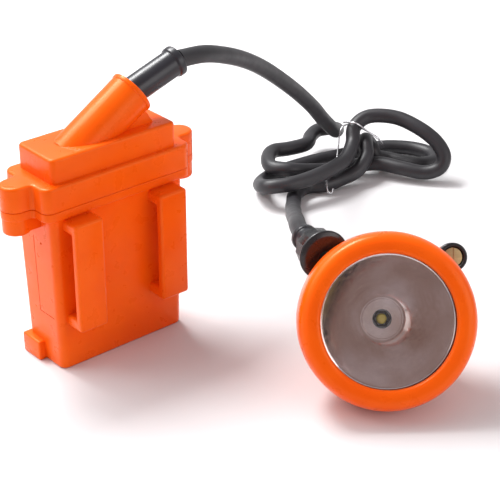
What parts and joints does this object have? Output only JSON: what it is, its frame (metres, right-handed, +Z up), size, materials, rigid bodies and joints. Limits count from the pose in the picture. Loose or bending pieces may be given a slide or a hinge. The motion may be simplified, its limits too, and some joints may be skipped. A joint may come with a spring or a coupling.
{
  "type": "miner's cap lamp",
  "caption": "Miner's cap lamp: belt battery pack with hooded cord outlet, rubber cord tied in a hank, and round tilted lamp head with a knob switch and a helmet hook.",
  "frame": {"origin": "centre of the battery pack's underside, on the floor that the pack stands on", "axes": "+X along the pack's width towards the lamp and cord, +Y from the belt-loop side of the pack towards its plain side, +Z up"},
  "size_m": [0.3029, 0.241, 0.1289],
  "materials": {
    "orange_plastic": "glossy moulded plastic",
    "black_plastic": "glossy",
    "black_rubber": "semi-gloss moulded rubber",
    "cord_rubber": "satin sheath",
    "pale_rubber": "matte",
    "lens_glass": "clear polished",
    "reflector_chrome": "mirror-bright",
    "steel": "satin",
    "tie_wire": "bright drawn wire",
    "brass": "turned",
    "nickel_strip": "satin",
    "aluminium": "machined",
    "cell_can": "shrink-wrapped can",
    "board_green": "lacquered board",
    "foam": "soft foam",
    "phosphor": "yellow domed",
    "red_insulation": "satin",
    "black_insulation": "satin"
  },
  "bodies": {
    "lamp_set": {"battery_box": "orange_plastic", "battery_cover": "orange_plastic", "bezel_ring": "orange_plastic", "board_foam": "foam", "board_fuse": "black_plastic", "cell_foot_pad": "foam", "cell_left": "cell_can", "cell_middle": "cell_can", "cell_right": "cell_can", "cord": "cord_rubber", "cover_gasket": "black_rubber", "cover_screw_left": "steel", "cover_screw_right": "steel", "driver_board": "board_green", "gland_flange": "black_plastic", "gland_nut": "black_plastic", "heat_sink": "aluminium", "helmet_hook": "steel", "hook_screw_left": "steel", "hook_screw_right": "steel", "lamp_cord_clamp": "pale_rubber", "lamp_cord_sleeve": "black_rubber", "lamp_housing": "orange_plastic", "lamp_lead_black": "black_insulation", "lamp_lead_red": "red_insulation", "led_board": "aluminium", "led_emitter": "phosphor", "led_well": "black_plastic", "lens": "lens_glass", "lens_gasket": "pale_rubber", "pack_cord_clamp": "pale_rubber", "pack_cord_sleeve": "black_rubber", "pack_lead_black": "black_insulation", "pack_lead_red": "red_insulation", "protection_board": "board_green", "reflector": "reflector_chrome", "strap_bottom": "nickel_strip", "strap_top": "nickel_strip", "switch_leaf": "brass", "switch_seal": "black_rubber", "wire_tie": "tie_wire"},
    "switch": {"switch_knob": "black_plastic", "charge_contact": "brass", "switch_shaft": "steel", "switch_rotor": "black_plastic"}
  },
  "joints": [
    {"name": "switch_turn", "type": "hinge", "parent": "lamp_set", "child": "switch", "pos_m": [0.09769, -0.11814, 0.05422], "axis": [-0.5531, -0.6904, 0.4664], "range_deg": [0, 90]}
  ]
}
